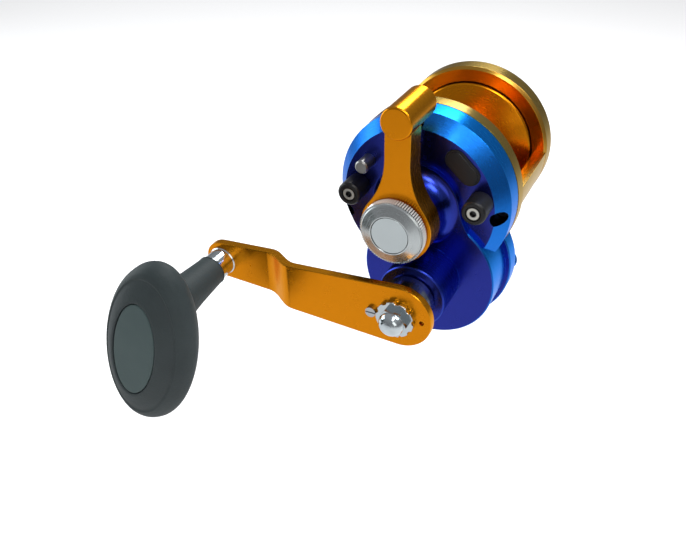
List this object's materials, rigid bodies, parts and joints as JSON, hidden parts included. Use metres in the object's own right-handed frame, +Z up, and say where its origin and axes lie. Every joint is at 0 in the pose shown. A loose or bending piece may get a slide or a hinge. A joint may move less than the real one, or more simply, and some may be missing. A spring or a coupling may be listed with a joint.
{
  "type": "lever drag trolling reel",
  "caption": "Lever-drag trolling reel with a one-piece ringed frame, offset gear case, sliding spool shaft, drag lever and a cranked handle with an oval grip.",
  "frame": {"origin": "centre of the reel foot's underside, where it rests on the rod's reel seat", "axes": "+X along the spool axis towards the handle side, +Y forward towards the rod tip, +Z up out of the reel seat"},
  "size_m": [0.1715, 0.1358, 0.1323],
  "materials": {
    "gold_anodised": "anodised satin gold",
    "blue_anodised": "anodised satin deep blue",
    "steel": "turned stainless steel",
    "chrome": "polished",
    "screw_steel": "turned, slightly darkened",
    "black_steel": "blackened",
    "collar_steel": "brushed along its length",
    "knob_steel": "turned and knurled",
    "black_plastic": "moulded matte",
    "black_rubber": "seal rubber",
    "grip_rubber": "fine matte texture",
    "inset_rubber": "smooth",
    "brass": "machined",
    "carbon": "woven carbon friction face"
  },
  "bodies": {
    "frame": {"frame": "gold_anodised", "side_plate": "blue_anodised", "reel_foot": "blue_anodised", "foot_screws": "steel", "side_plate_screws": "black_steel", "stop_bumpers": "black_plastic", "bumper_screws": "screw_steel", "stop_pin": "screw_steel", "button_spring": "steel", "left_bearing_cap": "gold_anodised", "shaft_end_bearing": "steel", "bridge_plate": "steel", "bridge_screws": "steel", "pinion_bearing": "steel", "drive_bearing_inner": "steel", "drive_bearing_outer": "steel", "roller_clutch": "steel", "boss_seal": "black_rubber", "cam_pins": "steel", "pawl_pin": "steel"},
    "spool": {"spool": "gold_anodised", "drag_washer": "carbon", "spool_bearing_left": "steel", "spool_bearing_right": "steel", "click_gear": "brass"},
    "shaft": {"spool_shaft": "steel", "spring_washers": "steel"},
    "pinion": {"pinion_gear": "steel", "drag_plate": "steel"},
    "handle": {"main_gear": "brass", "drive_shaft": "steel", "ratchet_wheel": "steel", "shaft_collar": "collar_steel", "handle_arm": "gold_anodised", "handle_nut": "chrome", "nut_lock_ring": "chrome", "lock_screw": "steel", "grip_spindle": "chrome"},
    "grip": {"grip_body": "grip_rubber", "grip_inset": "inset_rubber", "grip_ring": "chrome", "grip_bushes": "brass"},
    "pawl": {"pawl": "steel"},
    "clicker": {"click_slider": "black_plastic"},
    "lever": {"lever_arm": "gold_anodised", "lever_barrel": "gold_anodised", "lever_cam": "steel"},
    "preset": {"preset_knob": "knob_steel", "preset_cap": "knob_steel"},
    "button": {"push_button": "black_plastic"}
  },
  "joints": [
    {"name": "handle_spin", "type": "hinge", "parent": "frame", "child": "handle", "pos_m": [0, 0.00736, 0.01486], "axis": [1, 0, 0], "continuous": true},
    {"name": "grip_spin", "type": "hinge", "parent": "handle", "child": "grip", "pos_m": [0, -0.078, 0.01232], "axis": [1, 0, 0], "continuous": true},
    {"name": "pinion_spin", "type": "hinge", "parent": "frame", "child": "pinion", "pos_m": [0, 0, 0.046], "axis": [1, 0, 0], "continuous": true},
    {"name": "lever_swing", "type": "hinge", "parent": "frame", "child": "lever", "pos_m": [0, 0, 0.046], "axis": [1, 0, 0], "range_deg": [-57, 62]},
    {"name": "preset_turn", "type": "hinge", "parent": "lever", "child": "preset", "pos_m": [0, 0, 0.046], "axis": [1, 0, 0], "range_deg": [-180, 180]},
    {"name": "shaft_slide", "type": "slide", "parent": "frame", "child": "shaft", "axis": [1, 0, 0], "range_m": [-0.00027, 0.00022]},
    {"name": "spool_spin", "type": "hinge", "parent": "shaft", "child": "spool", "pos_m": [0, 0, 0.046], "axis": [1, 0, 0], "continuous": true},
    {"name": "pawl_swing", "type": "hinge", "parent": "frame", "child": "pawl", "pos_m": [0, -0.00615, 0.00539], "axis": [1, 0, 0], "range_deg": [0, 10]},
    {"name": "click_slide", "type": "slide", "parent": "frame", "child": "clicker", "axis": [0, 1, 0], "range_m": [0, 0.0018]},
    {"name": "button_press", "type": "slide", "parent": "frame", "child": "button", "axis": [-1, 0, 0], "range_m": [0, 0.0012], "stiffness_N_per_m": 800, "springref_m": -0.0006}
  ],
  "couplings": [
    {"joint": "pinion_spin", "follows": "handle_spin", "ratio": -3},
    {"joint": "spool_spin", "follows": "handle_spin", "ratio": -3},
    {"joint": "shaft_slide", "follows": "lever_swing", "m_per_rad": -0.000212}
  ]
}
